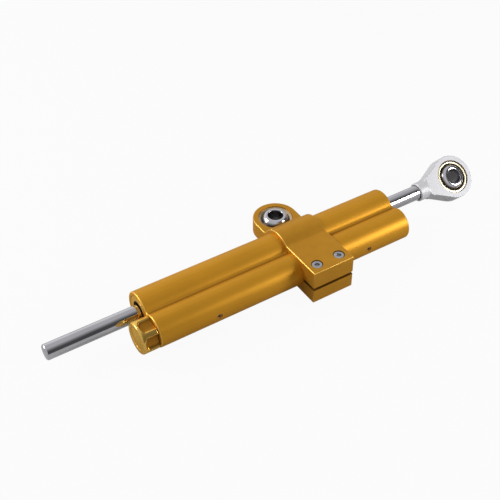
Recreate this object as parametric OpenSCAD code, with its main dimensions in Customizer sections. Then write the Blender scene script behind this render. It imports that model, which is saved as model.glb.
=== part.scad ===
// Linear steering damper for a motorcycle: a through-rod in a twin barrel, a pinch clamp with an eye,
// a rod end with a spherical bearing, and a needle valve with a click knob. Millimetres.
// X runs along the rod to the rod end, Z is up along the clamp eye's bore, and the origin is that bore's centre.

/* [Barrel body] */
// Outside diameter of the main barrel
main_d = 21; // [20.4:0.1:23]
// Outside diameter of the valve barrel beside it
side_d = 17; // [16.4:0.1:18]
// Distance between the two barrel axes
barrel_pitch = 15; // [14.8:0.1:16]
// Radius of the hollow fillet between the barrels
waist_r = 2; // [1:0.1:4]
// Length of the body
body_len = 148; // [140:0.5:180]
// Chamfer round the body's ends
body_edge = 0.6; // [0.2:0.1:1]
// From the body's left end to the middle of the clamp
clamp_station = 92; // [60:0.5:110]
// Bore of the main barrel
main_bore = 16; // [15.6:0.1:16.4]
// Bore of the pockets that hold the rod guides
pocket_d = 17; // [16.8:0.1:17.4]
// Bore of the valve barrel
side_bore = 10; // [9.8:0.1:10.6]
// From the body's left end to the left oil port
left_port = 31.5; // [30:0.5:40]
// From the body's right end to the right oil port
right_port = 27; // [25:0.5:35]
// Diameter of the oil ports between the barrels
port_d = 2.4; // [1.5:0.1:2.8]
// Thread diameter of the port plugs
plug_d = 3; // [3:0.1:4]
// Length of the port plugs
plug_len = 2.6; // [2:0.1:2.8]
// Hex socket of the port plugs, across flats
plug_hex = 1.5; // [1.2:0.1:2]

/* [Rod guides] */
// From each body end to its circlip
recess = 4; // [3:0.1:5]
// Thickness of the circlips
clip_t = 1; // [0.8:0.1:1.2]
// Depth of a circlip groove in the wall
clip_groove = 0.5; // [0.3:0.05:0.8]
// Radial width of the guide circlips
clip_w = 1.5; // [1.2:0.1:2]
// Opening of the circlips, in degrees
clip_gap = 50; // [30:1:70]
// Length of the part of a guide that fits the main bore
spigot_len = 5; // [4:0.5:7]
// Length of the nose that leaves room round it at the oil port
nose_len = 4; // [3.5:0.1:6]
// Diameter of the nose
nose_d = 12.4; // [11.6:0.1:13]
// Outside diameter of the guide bushes
bush_d = 10; // [9.4:0.1:10.8]
// Length of the guide bushes
bush_len = 8; // [5:0.5:10]
// Outside diameter of the rod seals
seal_d = 12; // [11:0.1:12.5]
// Width of the rod seals
seal_w = 3; // [2:0.1:3.5]
// Outside diameter of the wipers
wiper_d = 13; // [12.6:0.1:13.6]
// Width of the wipers
wiper_w = 2.5; // [2:0.1:3]
// How far a wiper's lip stands out of its guide
wiper_lip = 0.8; // [0.4:0.1:1.5]
// Cord diameter of the guide O-rings
guide_cord = 1.5; // [1.2:0.1:1.8]
// How far the dust caps lie under the body's ends
cap_sink = 0.3; // [0.2:0.1:0.8]
// Wall of the dust caps
cap_wall = 1.2; // [0.8:0.1:1.6]
// Bore of the dust caps round the rod
cap_bore = 11; // [9.6:0.1:12.4]

/* [Rod and piston] */
// Diameter of the rod
rod_d = 8; // [7.6:0.1:8.4]
// Length of rod that shows at the left
rod_left = 48.5; // [48:0.5:60]
// Length of rod that shows at the right, up to the rod end
rod_right = 24; // [23.5:0.5:40]
// Chamfer of the rod's tip
rod_tip = 0.9; // [0.3:0.1:1.5]
// Diameter of the stud that screws into the rod end
stud_d = 6; // [5:0.1:6.4]
// Length of that stud
stud_len = 10; // [8:0.5:11]
// Travel from the stored pose to the left stop
stroke_in = 23; // [15:0.5:23]
// Length of the piston
piston_len = 10; // [8:0.5:14]
// Width of the piston ring
ring_w = 3; // [2:0.1:4]
// Radial thickness of the piston ring
ring_t = 1.2; // [0.8:0.1:1.6]
// Depth of the circlip grooves in the rod
rod_groove = 0.5; // [0.3:0.05:0.7]
// Radial width of the piston circlips
rod_clip_w = 1.7; // [1.4:0.1:2]

/* [Spherical bearings] */
// Bore of the bearing balls
bearing_bore = 8; // [6:0.1:8.4]
// Diameter of the bearing balls
ball_d = 16; // [15.6:0.1:16.2]
// Width of the bearing balls
ball_w = 11.6; // [11:0.1:12]
// Chamfer at the mouths of the ball's bore
ball_edge = 0.6; // [0.2:0.1:0.8]
// Outside diameter of the bearing races
race_d = 18; // [17.8:0.1:18.6]
// Width of the bearing races
race_w = 8; // [7:0.1:8.6]
// Diameter of the mouths of the races
race_mouth = 14.4; // [14.3:0.1:15]

/* [Rod end] */
// Diameter of the eye
eye_d = 24.4; // [23:0.1:28]
// Thickness of the eye
eye_t = 9; // [8.8:0.1:10]
// From the collar's end to the middle of the eye
shank_len = 23.7; // [22.5:0.1:32]
// Diameter of the neck
neck_d = 10.4; // [10.2:0.1:12]
// From the middle of the eye back to where the flats begin
flat_start = 17.4; // [16.5:0.1:19]
// From the middle of the eye back to where the flanks spread
flank_start = 16.2; // [14:0.1:16.5]
// Radius of the hollow where the flanks leave the neck
flank_r = 12; // [4:0.5:14]
// Diameter of the recess that takes the rod's end
collar_bore = 8.8; // [8.5:0.1:9.2]
// Depth of that recess
collar_depth = 1.2; // [0.6:0.1:2]
// Roll of the rod end about the rod in the stored pose, in degrees
rod_roll = 40; // [0:1:90]

/* [Clamp] */
// Width of the clamp along the barrel
clamp_w = 24; // [22:0.5:30]
// Wall of the clamp round the main barrel
clamp_wall = 1.9; // [1.5:0.1:3]
// Height of the clamp's block
block_h = 19.5; // [19.4:0.1:22]
// From the valve barrel's surface to the clamp's front face
ear_len = 8.9; // [8:0.1:12]
// From the rod's axis to the middle of the clamp eye
eye_reach = 20; // [19.5:0.1:24]
// Radius of the hollow between the hump and the block's flat top
block_fillet = 4; // [2:0.1:5]
// Radius of the hollow between the hump and the eye plate
eye_fillet = 3; // [1.5:0.1:4]
// Width of the pinch slot
slot_w = 1.8; // [1:0.1:2.5]
// How far the slot lies under the middle of the block
slot_drop = 0.8; // [0:0.1:1.5]
// Thread diameter of the clamp screws
screw_d = 3; // [2.5:0.1:3.2]
// Head diameter of the clamp screws
screw_head_d = 5.5; // [5:0.1:5.6]
// Head height of the clamp screws
screw_head_h = 3; // [2:0.1:3.4]
// Hex socket of the clamp screws, across flats
screw_hex = 2.5; // [2:0.1:2.8]
// Length of the clamp screws under the head
screw_len = 14; // [12:0.5:14.5]
// Distance between the clamp screws
screw_pitch = 13.2; // [10:0.1:15]
// From the clamp's front face to the screws
screw_inset = 5.5; // [4.5:0.1:5.6]

/* [Adjuster] */
// Diameter of the knob
knob_d = 16.5; // [15:0.1:17]
// Length of the knob
knob_len = 8.7; // [8:0.1:12]
// Number of flutes round the knob
flute_n = 5; // [4:1:6]
// Radius of the flutes
flute_r = 7; // [4:0.1:9]
// Depth of the flutes
flute_depth = 2; // [0.8:0.1:2.2]
// Rim in front of the flutes
flute_rim = 1.4; // [1.2:0.1:2.5]
// Diameter of the dish in the knob's face
dish_d = 12.6; // [10:0.1:13]
// Depth of the dish
dish_depth = 0.6; // [0.3:0.1:1]
// Diameter of the adjuster spindle
spindle_d = 4; // [3.5:0.1:4.2]
// How far the spindle reaches into the knob
spindle_grip = 6; // [5:0.1:6.5]
// Diameter of the spindle's collar
spindle_collar = 5.8; // [5.4:0.1:5.9]
// Diameter of the spindle's screw
lead_d = 3; // [2.5:0.1:3.4]
// Diameter of the valve housing's flange
flange_d = 12; // [11.6:0.1:12.6]
// Thickness of the flange
flange_t = 2; // [1.5:0.1:3]
// Length of the bearing for the spindle in the housing
spindle_seat = 10; // [9:0.5:11]
// Hex body of the needle, across flats
needle_hex = 6; // [6:0.1:6.3]
// Diameter of the needle's pin
needle_d = 3; // [2.8:0.1:3.4]
// Length of the needle's cone
cone_len = 3; // [2.5:0.1:4]
// Orifice of the valve seat
orifice_d = 2.6; // [2:0.1:2.7]
// Outside diameter of the valve seat
seat_d = 8; // [7.4:0.1:8.4]
// Length of the valve seat
seat_len = 4; // [3:0.1:6]
// Diameter of the detent ball
detent_d = 1.5; // [1.2:0.1:1.6]
// Radius of the circle of clicks
detent_circle = 3.6; // [3.5:0.05:3.8]
// Depth of the detent spring's hole
detent_hole = 4.5; // [4:0.1:4.8]
// Number of clicks in a turn
click_n = 12; // [8:1:12]
// Thread diameter of the knob's grub screw
grub_d = 2.5; // [2:0.1:3]
// Length of the knob's grub screw
grub_len = 4; // [3:0.1:5]
// Cord diameter of the small O-rings
small_cord = 1; // [0.8:0.05:1.1]

/* [Oil reserve] */
// Clear distance from the right port to the compensator piston
comp_gap = 3; // [2.5:0.1:5]
// Length of the compensator piston
comp_len = 6; // [5:0.1:7]
// Depth of the spring's seat in the compensator piston
comp_cup = 2; // [1:0.1:2]
// Outside diameter of the compensator spring
spring_d = 7.6; // [6:0.1:7.8]
// Wire diameter of the compensator spring
spring_wire = 0.9; // [0.7:0.1:1.2]
// Turns of the compensator spring
spring_turns = 5; // [4:1:6]
// Length of the end plug
end_len = 4; // [3:0.1:5]

/* [Fits] */
// Radial clearance of a running fit
run_fit = 0.03; // [0.02:0.01:0.06]
// Radial clearance of a lip on the rod
lip_fit = 0.05; // [0.03:0.01:0.08]
// Radial clearance of a piece in its seat
seat_fit = 0.02; // [0.01:0.01:0.05]
// Free room round pieces that move past each other
free_gap = 0.3; // [0.3:0.05:0.5]
// Free room in front of the clamp screws' heads
head_gap = 0.25; // [0.2:0.05:0.4]

/* [Hidden] */
$fn = 96;
eps = 0.5;
// How far a hollow's arc laps over the faces beside it.
lap = 0.01;
gold = "#b07c20";
gold_dark = "#8f6416";
silver = "#d9d9dd";
steel = "#9a9aa2";
bronze = "#d8bd78";
black = "#232326";
brass = "#c6a14a";

main_y = -eye_reach;
side_y = main_y - barrel_pitch;
body_x0 = -clamp_station;
body_x1 = body_x0 + body_len;
main_r = main_d / 2;
side_r = side_d / 2;

// Centre of the hollow fillet between the barrels, seen from the main axis.
waist_a = main_r + waist_r;
waist_b = side_r + waist_r;
waist_y = -(waist_a * waist_a - waist_b * waist_b + barrel_pitch * barrel_pitch) / (2 * barrel_pitch);
waist_z = sqrt(waist_a * waist_a - waist_y * waist_y);

// Rod guide, measured inwards from a body end.
guide_z = recess + clip_t;
seal_end = guide_z + wiper_w + seal_w;

// Rod and piston along X.
tip_x = body_x0 - rod_left;
collar_x = body_x1 + rod_right;
left_stop = body_x0 + left_port + nose_len / 2;
piston_x0 = left_stop + stroke_in + clip_t;
piston_x1 = piston_x0 + piston_len;
piston_d = main_bore - 2 * free_gap;
shoulder_x = collar_x + collar_depth;
eye_x = collar_x + shank_len;

// Clamp, across the barrel.
hump_r = main_r + clamp_wall;
half_h = block_h / 2;
front_y = side_y - side_r - ear_len;
screw_y = front_y + screw_inset;
head_seat = half_h - head_gap - screw_head_h;
head_hole = screw_head_d + 2 * head_gap;

// Adjuster, measured inwards from the body's left end.
knob_back = -free_gap;
knob_front = knob_back - knob_len;
collar_z0 = spindle_seat + 0.1;
collar_z1 = collar_z0 + 2;
lead_z1 = collar_z1 + 10;
needle_z0 = collar_z1 + 2.5;
seat_z = left_port + 2.5;
cone_z1 = seat_z + 0.9;
cone_z0 = cone_z1 - cone_len;
pin_z0 = cone_z0 - 4;
housing_end = seat_z + seat_len;
valve_ring_z = 24;
spindle_ring_z = 7;
track_depth = 0.5;
track_gap = 0.1;
detent_z = knob_back - track_depth + track_gap + detent_d / 2;
flute_angle = 100;
grub_angle = flute_angle + 180 / flute_n * (2 * floor(flute_n / 2) + 1);

// Oil reserve, measured inwards from the body's right end.
end_z = recess + clip_t;
comp_z = right_port - comp_gap;

// Point where a line from p touches the circle of radius r round the origin, on the +Y side.
function touch(p, r) = let (q = p * p, s = sqrt(q - r * r))
    [r * (r * p.x + s * p.y) / q, r * (r * p.y - s * p.x) / q];

// Places a piece drawn along Z on an axis along X, or inwards from a body end.
module on_axis(x, y) translate([x, y, 0]) rotate([0, 90, 0]) children();
module from_left(y) on_axis(body_x0, y) children();
module from_right(y) translate([body_x1, y, 0]) rotate([0, -90, 0]) children();

// Places a drawing of the cross-section, drawn as (y, z), square to X.
module section_at(x) translate([x, 0, 0]) rotate([90, 0, 90]) children();

module in_rod_end() translate([eye_x, main_y, 0]) rotate([rod_roll, 0, 0]) children();

module tube(outer, inner, length) {
    difference() {
        cylinder(d = outer, h = length);
        translate([0, 0, -eps]) cylinder(d = inner, h = length + 2 * eps);
    }
}

module hex_prism(flats, length) cylinder(d = flats / cos(30), h = length, $fn = 6);

module o_ring(inner, outer) {
    cord = (outer - inner) / 2;
    rotate_extrude() translate([(inner + cord) / 2, 0]) circle(d = cord);
}

// Circlip with two eyed ends; the ends stand inwards for a bore and outwards for a shaft.
module circlip(outer, inner, inside) {
    lug_d = (outer - inner) / 2 + 0.8;
    lug_r = inside ? inner / 2 : outer / 2;
    lug_a = clip_gap / 2 + (inside ? 12 : 8);
    linear_extrude(clip_t) {
        difference() {
            union() {
                difference() {
                    circle(d = outer);
                    circle(d = inner);
                    polygon([[0, 0], for (a = [-1, 0, 1]) outer * [cos(a * clip_gap / 2), sin(a * clip_gap / 2)]]);
                }
                intersection() {
                    for (s = [-1, 1]) rotate(s * lug_a) translate([lug_r, 0]) circle(d = lug_d);
                    if (inside) circle(d = outer);
                    if (!inside) difference() {
                        circle(d = outer + 2 * lug_d);
                        circle(d = inner);
                    }
                }
            }
            for (s = [-1, 1]) rotate(s * lug_a) translate([lug_r, 0]) circle(d = 0.9, $fn = 24);
        }
    }
}

// Coil spring as one round wire, from z = 0 to the given length.
module coil(outer, wire, length, turns, steps, sides) {
    n = turns * steps;
    mean = (outer - wire) / 2;
    rings = [for (i = [0 : n], k = [0 : sides - 1])
        let (a = 360 * i / steps, b = 360 * k / sides, r = mean + wire / 2 * cos(b))
        [r * cos(a), r * sin(a), wire / 2 + (length - wire) * i / n + wire / 2 * sin(b)]];
    walls = [for (i = [0 : n - 1], k = [0 : sides - 1])
        let (p = i * sides + k, q = i * sides + (k + 1) % sides)
        each [[p, p + sides, q], [q, p + sides, q + sides]]];
    caps = [for (k = [1 : sides - 2])
        each [[0, k, k + 1], [n * sides, n * sides + k + 1, n * sides + k]]];
    polyhedron(points = rings, faces = concat(walls, caps), convexity = 10);
}

// Outline of the twin barrel round the main axis, grown all round by a clearance.
module twin_outline(grow) {
    circle(r = main_r + grow);
    translate([-barrel_pitch, 0]) circle(r = side_r + grow);
    for (s = [-1, 1]) {
        difference() {
            polygon([[0, 0], [waist_y, s * waist_z], [-barrel_pitch, 0]]);
            translate([waist_y, s * waist_z]) circle(r = waist_r - grow + lap);
        }
    }
}

// Hollow fillet beside the clamp's hump, above a flat at height flat_z, towards +Y or -Y.
module hump_fillet(flat_z, radius, way) {
    c_y = sqrt((hump_r + radius) * (hump_r + radius) - (flat_z + radius) * (flat_z + radius));
    difference() {
        polygon([[0, 0], [way * c_y, flat_z + radius], [way * c_y, 0]]);
        translate([way * c_y, flat_z + radius]) circle(r = radius + lap);
    }
}

// Left or right rod guide, turned; z runs inwards from the body's end.
module rod_guide(port) {
    head_r = pocket_d / 2 - seat_fit;
    spigot_z = port - nose_len / 2 - spigot_len;
    nose_z = port - nose_len / 2;
    end = port + nose_len / 2;
    free_r = rod_d / 2 + free_gap;
    groove_r = pocket_d / 2 - guide_cord;
    groove_z = (seal_end + spigot_z) / 2;
    half = guide_cord / 2 + 0.15;
    rotate_extrude() polygon([
        [wiper_d / 2, guide_z], [head_r, guide_z],
        [head_r, groove_z - half], [groove_r, groove_z - half],
        [groove_r, groove_z + half], [head_r, groove_z + half],
        [head_r, spigot_z], [main_bore / 2 - seat_fit, spigot_z],
        [main_bore / 2 - seat_fit, nose_z], [nose_d / 2, nose_z],
        [nose_d / 2, end], [bush_d / 2, end],
        [bush_d / 2, end - bush_len], [free_r, end - bush_len],
        [free_r, seal_end], [seal_d / 2, seal_end],
        [seal_d / 2, guide_z + wiper_w], [wiper_d / 2, guide_z + wiper_w]
    ]);
}

// One body end each for the pieces that both rod guides hold.
module both_guides() {
    from_left(main_y) {
        $port = left_port;
        children();
    }
    from_right(main_y) {
        $port = right_port;
        children();
    }
}

// Ball and race of a spherical bearing, with the bore along Z.
module bearing_ball() {
    difference() {
        intersection() {
            sphere(d = ball_d);
            cylinder(d = ball_d + 1, h = ball_w, center = true);
        }
        cylinder(d = bearing_bore, h = ball_w + 1, center = true);
        for (s = [-1, 1]) scale([1, 1, s]) translate([0, 0, ball_w / 2 - ball_edge])
            cylinder(d1 = bearing_bore, d2 = bearing_bore + 2.2 * ball_edge, h = 1.1 * ball_edge);
    }
}

module bearing_race() {
    seat_r = ball_d / 2 + run_fit;
    edge = 0.5;
    difference() {
        cylinder(d = race_d, h = race_w, center = true);
        sphere(r = seat_r);
        for (s = [0, 1]) mirror([0, 0, s]) translate([0, 0, race_w / 2 - edge])
            cylinder(d1 = race_mouth - 2 * edge, d2 = race_mouth + 2 * edge, h = 2 * edge);
    }
}

module barrel_body() {
    color(gold) difference() {
        union() {
            section_at(body_x0 + body_edge) linear_extrude(body_len - 2 * body_edge)
                translate([main_y, 0]) twin_outline(0);
            for (barrel = [[main_y, main_d], [side_y, side_d]]) {
                from_left(barrel[0]) cylinder(d1 = barrel[1] - 2 * body_edge, d2 = barrel[1], h = body_edge);
                from_right(barrel[0]) cylinder(d1 = barrel[1] - 2 * body_edge, d2 = barrel[1], h = body_edge);
            }
        }
        on_axis(body_x0 - eps, main_y) cylinder(d = main_bore, h = body_len + 2 * eps);
        both_guides() {
            translate([0, 0, -eps]) cylinder(d = pocket_d, h = $port - nose_len / 2 - spigot_len + eps);
            translate([0, 0, recess]) cylinder(d = pocket_d + 2 * clip_groove, h = clip_t);
        }
        on_axis(body_x0 - eps, side_y) cylinder(d = side_bore, h = body_len + 2 * eps);
        from_left(side_y) translate([0, 0, -eps]) cylinder(d = flange_d, h = flange_t + eps);
        from_right(side_y) translate([0, 0, recess]) cylinder(d = side_bore + 2 * clip_groove, h = clip_t);
        for (x = [body_x0 + left_port, body_x1 - right_port]) {
            translate([x, main_y - main_bore / 2 + eps, 0]) rotate([90, 0, 0])
                cylinder(d = port_d, h = barrel_pitch - main_bore / 2 + eps);
            translate([x, side_y, 0]) rotate([90, 0, 0]) cylinder(d = plug_d, h = side_r + eps);
        }
    }
}

module left_rod_guide() {
    color(gold_dark) from_left(main_y) rod_guide(left_port);
}

module right_rod_guide() {
    color(gold_dark) from_right(main_y) rod_guide(right_port);
}

module rod_bushes() {
    color(bronze) both_guides() translate([0, 0, $port + nose_len / 2 - bush_len])
        tube(bush_d - 2 * seat_fit, rod_d + 2 * run_fit, bush_len);
}

module rod_seals() {
    color(black) both_guides() translate([0, 0, guide_z + wiper_w])
        tube(seal_d - 2 * seat_fit, rod_d + 2 * lip_fit, seal_w);
}

module rod_wipers() {
    lip_r = rod_d / 2 + lip_fit;
    color(black) both_guides() rotate_extrude() polygon([
        [lip_r, guide_z - wiper_lip], [lip_r + 0.7, guide_z - wiper_lip], [lip_r + 1.4, guide_z],
        [wiper_d / 2 - seat_fit, guide_z], [wiper_d / 2 - seat_fit, guide_z + wiper_w], [lip_r, guide_z + wiper_w]
    ]);
}

module guide_o_rings() {
    color(black) both_guides()
        translate([0, 0, (seal_end + $port - nose_len / 2 - spigot_len) / 2])
        o_ring(pocket_d - 2 * guide_cord + 2 * seat_fit, pocket_d - 2 * seat_fit);
}

module guide_circlips() {
    outer = pocket_d + 2 * clip_groove - 2 * seat_fit;
    color(steel) both_guides() translate([0, 0, recess]) rotate(90) circlip(outer, outer - 2 * clip_w, true);
}

// Cups pressed into the body's ends, over the circlips.
module dust_caps() {
    cap_r = pocket_d / 2 - seat_fit;
    floor_z = cap_sink + cap_wall;
    color(gold) both_guides() rotate_extrude() polygon([
        [cap_bore / 2, cap_sink], [cap_r - 0.3, cap_sink], [cap_r, cap_sink + 0.3], [cap_r, recess],
        [cap_r - cap_wall, recess], [cap_r - cap_wall, floor_z], [cap_bore / 2, floor_z]
    ]);
}

module port_plugs() {
    color(steel) for (x = [body_x0 + left_port, body_x1 - right_port])
        translate([x, side_y - side_r + 0.4, 0]) rotate([-90, 0, 0]) difference() {
            cylinder(d = plug_d - 2 * seat_fit, h = plug_len);
            translate([0, 0, -eps]) hex_prism(plug_hex, plug_len / 2 + eps);
        }
}

module valve_housing() {
    ring_r = side_bore / 2 - small_cord;
    spindle_r = spindle_d / 2 + run_fit;
    color(brass) from_left(side_y) difference() {
        union() {
            cylinder(d = flange_d - 2 * seat_fit, h = flange_t);
            cylinder(d = side_bore - 2 * seat_fit, h = housing_end);
        }
        translate([0, 0, -eps]) cylinder(r = spindle_r, h = spindle_seat + 2 * eps);
        translate([0, 0, spindle_ring_z]) cylinder(r = spindle_r + small_cord, h = small_cord + 0.2, center = true);
        translate([0, 0, spindle_seat]) hex_prism(needle_hex + 2 * run_fit, seat_z - spindle_seat);
        translate([0, 0, seat_z]) cylinder(d = seat_d, h = seat_len + eps);
        translate([0, 0, left_port]) rotate([90, 0, 0]) cylinder(d = port_d, h = side_bore + 1, center = true);
        translate([0, 0, valve_ring_z - small_cord / 2 - 0.1]) tube(side_bore + 1, 2 * ring_r, small_cord + 0.2);
        rotate(-90) translate([detent_circle, 0, -eps]) cylinder(d = detent_d + 0.1, h = detent_hole + eps);
    }
}

module valve_seat() {
    color(steel) from_left(side_y) translate([0, 0, seat_z])
        tube(seat_d - 2 * seat_fit, orifice_d, seat_len);
}

module valve_o_ring() {
    color(black) from_left(side_y) translate([0, 0, valve_ring_z])
        o_ring(side_bore - 2 * small_cord + 2 * seat_fit, side_bore - 2 * seat_fit);
}

module spindle_o_ring() {
    inner = spindle_d + 2 * run_fit + 2 * lip_fit;
    color(black) from_left(side_y) translate([0, 0, spindle_ring_z])
        o_ring(inner, spindle_d + 2 * run_fit + 2 * small_cord - 2 * seat_fit);
}

module detent_ball() {
    color(steel) from_left(side_y) rotate(-90) translate([detent_circle, 0, detent_z]) sphere(d = detent_d);
}

module detent_spring() {
    start = detent_z + detent_d / 2;
    color(steel) from_left(side_y) rotate(-90) translate([detent_circle, 0, start])
        coil(detent_d - 0.1, 0.25, detent_hole - start, 6, 12, 5);
}

module adjuster_spindle() {
    color(steel) from_left(side_y) {
        translate([0, 0, knob_back - spindle_grip])
            cylinder(d = spindle_d, h = collar_z0 - knob_back + spindle_grip);
        translate([0, 0, collar_z0]) cylinder(d = spindle_collar, h = collar_z1 - collar_z0);
        translate([0, 0, collar_z1]) cylinder(d = lead_d, h = lead_z1 - collar_z1);
    }
}

module adjuster_knob() {
    knob_r = knob_d / 2;
    edge = 0.8;
    color(gold) from_left(side_y) difference() {
        rotate_extrude() polygon([
            [0, knob_back], [knob_r - 0.3, knob_back], [knob_r, knob_back - 0.3],
            [knob_r, knob_front + edge], [knob_r - edge, knob_front],
            [dish_d / 2, knob_front], [dish_d / 2 - dish_depth, knob_front + dish_depth],
            [0, knob_front + dish_depth]
        ]);
        for (k = [0 : flute_n - 1])
            rotate(90 + flute_angle + 360 * k / flute_n)
                translate([knob_r + flute_r - flute_depth, 0, knob_front + flute_rim])
                cylinder(r = flute_r, h = knob_len);
        translate([0, 0, knob_back - spindle_grip]) cylinder(d = spindle_d + 2 * seat_fit, h = spindle_grip + eps);
        translate([0, 0, knob_back - track_depth])
            tube(2 * (detent_circle + detent_d / 2 + 0.25), 2 * (detent_circle - detent_d / 2 - 0.25), 1);
        for (k = [0 : click_n - 1])
            rotate(-90 + 360 * k / click_n)
                translate([detent_circle, 0, detent_z - track_gap - 0.15]) sphere(d = detent_d);
        rotate(90 + grub_angle) translate([0, 0, knob_back - spindle_grip / 2]) rotate([0, 90, 0])
            cylinder(d = grub_d, h = knob_r + 1);
    }
}

module knob_grub_screw() {
    color(steel) from_left(side_y) rotate(90 + grub_angle)
        translate([spindle_d / 2 + seat_fit, 0, knob_back - spindle_grip / 2]) rotate([0, 90, 0]) difference() {
            cylinder(d = grub_d - 2 * seat_fit, h = grub_len);
            translate([0, 0, grub_len / 2]) hex_prism(grub_d / 2, grub_len);
        }
}

module needle() {
    color(steel) from_left(side_y) difference() {
        union() {
            translate([0, 0, needle_z0]) hex_prism(needle_hex, pin_z0 - needle_z0);
            translate([0, 0, pin_z0]) cylinder(d = needle_d, h = cone_z0 - pin_z0);
            translate([0, 0, cone_z0]) cylinder(d1 = needle_d, d2 = 0.6, h = cone_len);
        }
        translate([0, 0, needle_z0 - eps]) cylinder(d = lead_d + 2 * run_fit, h = lead_z1 - needle_z0 + 1.5 + eps);
    }
}

module compensator_piston() {
    comp_r = side_bore / 2 - run_fit;
    ring_r = side_bore / 2 - small_cord;
    mid = comp_z - (comp_len - comp_cup) / 2;
    half = small_cord / 2 + 0.1;
    cup_r = spring_d / 2 + 0.2;
    back = comp_z - comp_len;
    color(steel) from_right(side_y) rotate_extrude() polygon([
        [0, comp_z], [comp_r, comp_z], [comp_r, mid + half], [ring_r, mid + half],
        [ring_r, mid - half], [comp_r, mid - half], [comp_r, back], [cup_r, back],
        [cup_r, back + comp_cup], [0, back + comp_cup]
    ]);
}

module compensator_o_ring() {
    color(black) from_right(side_y) translate([0, 0, comp_z - (comp_len - comp_cup) / 2])
        o_ring(side_bore - 2 * small_cord + 2 * seat_fit, side_bore - 2 * run_fit);
}

module compensator_spring() {
    start = end_z + end_len;
    color(steel) from_right(side_y) translate([0, 0, start])
        coil(spring_d, spring_wire, comp_z - comp_len + comp_cup - start, spring_turns, 18, 6);
}

module end_plug() {
    plug_r = side_bore / 2 - seat_fit;
    ring_r = side_bore / 2 - small_cord;
    mid = end_z + end_len / 2;
    half = small_cord / 2 + 0.1;
    color(gold_dark) from_right(side_y) rotate_extrude() polygon([
        [0, end_z], [plug_r, end_z], [plug_r, mid - half], [ring_r, mid - half],
        [ring_r, mid + half], [plug_r, mid + half], [plug_r, end_z + end_len], [0, end_z + end_len]
    ]);
}

module end_plug_o_ring() {
    color(black) from_right(side_y) translate([0, 0, end_z + end_len / 2])
        o_ring(side_bore - 2 * small_cord + 2 * seat_fit, side_bore - 2 * seat_fit);
}

module end_plug_circlip() {
    outer = side_bore + 2 * clip_groove - 2 * seat_fit;
    color(steel) from_right(side_y) translate([0, 0, recess]) rotate(90) circlip(outer, outer - 2 * clip_w, true);
}

module piston_rod() {
    r = rod_d / 2;
    g = r - rod_groove;
    color(silver) translate([0, main_y, 0]) rotate([0, 90, 0]) rotate_extrude() polygon([
        [0, tip_x], [r - rod_tip, tip_x], [r, tip_x + rod_tip],
        [r, piston_x0 - clip_t], [g, piston_x0 - clip_t], [g, piston_x0], [r, piston_x0],
        [r, piston_x1], [g, piston_x1], [g, piston_x1 + clip_t], [r, piston_x1 + clip_t],
        [r, shoulder_x], [stud_d / 2, shoulder_x],
        [stud_d / 2, shoulder_x + stud_len], [0, shoulder_x + stud_len]
    ]);
}

module piston() {
    r = piston_d / 2;
    floor_r = main_bore / 2 - ring_t - run_fit;
    mid = (piston_x0 + piston_x1) / 2;
    half = ring_w / 2 + run_fit;
    bore_r = rod_d / 2 + seat_fit;
    edge = 0.6;
    color(steel) translate([0, main_y, 0]) rotate([0, 90, 0]) rotate_extrude() polygon([
        [bore_r, piston_x0], [r - edge, piston_x0], [r, piston_x0 + edge], [r, mid - half],
        [floor_r, mid - half], [floor_r, mid + half], [r, mid + half],
        [r, piston_x1 - edge], [r - edge, piston_x1], [bore_r, piston_x1]
    ]);
}

module piston_ring() {
    mid = (piston_x0 + piston_x1) / 2;
    color(black) on_axis(mid - ring_w / 2, main_y) tube(main_bore - 2 * run_fit, main_bore - 2 * ring_t, ring_w);
}

module piston_circlips() {
    inner = rod_d - 2 * rod_groove + 2 * seat_fit;
    color(steel) for (x = [piston_x0 - clip_t, piston_x1])
        on_axis(x, main_y) circlip(inner + 2 * rod_clip_w, inner, false);
}

// Plan of the rod end's head: the eye, straight flanks, and a hollow where they leave the neck.
module head_plan() {
    start = [-flank_start, neck_d / 2 + lap];
    end = touch(start, eye_d / 2 - lap);
    slope = atan2(end.y - start.y, end.x - start.x);
    reach = flank_r * tan(slope / 2);
    neck_end = [start.x - reach, start.y];
    flank_end = start + reach * [cos(slope), sin(slope)];
    centre = neck_end + [0, flank_r];
    circle(d = eye_d);
    for (s = [0, 1]) mirror([0, s]) {
        polygon([[0, 0], end, start, [-shank_len, start.y], [-shank_len, 0]]);
        difference() {
            polygon([neck_end - [0, 1], neck_end, centre, flank_end, flank_end - [0, 1]]);
            translate(centre) circle(r = flank_r + lap);
        }
    }
}

module rod_end_housing() {
    neck_r = neck_d / 2;
    edge = 0.4;
    color(silver) in_rod_end() difference() {
        union() {
            translate([-shank_len, 0, 0]) rotate([0, 90, 0]) {
                cylinder(r1 = neck_r - edge, r2 = neck_r, h = edge);
                translate([0, 0, edge]) cylinder(r = neck_r, h = shank_len - flat_start - edge);
            }
            intersection() {
                linear_extrude(eye_t, center = true) head_plan();
                translate([-flat_start, 0, 0]) rotate([0, 90, 0])
                    cylinder(r1 = neck_r, r2 = neck_r + flat_start + eye_d, h = flat_start + eye_d);
            }
        }
        cylinder(d = race_d + 2 * run_fit, h = eye_t + 1, center = true);
        translate([-shank_len - eps, 0, 0]) rotate([0, 90, 0]) {
            cylinder(d = collar_bore, h = collar_depth + eps);
            cylinder(d = stud_d + 2 * seat_fit, h = collar_depth + stud_len + 1 + eps);
        }
    }
}

module rod_end_race() {
    color(bronze) in_rod_end() bearing_race();
}

module rod_end_ball() {
    color(silver) in_rod_end() bearing_ball();
}

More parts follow.
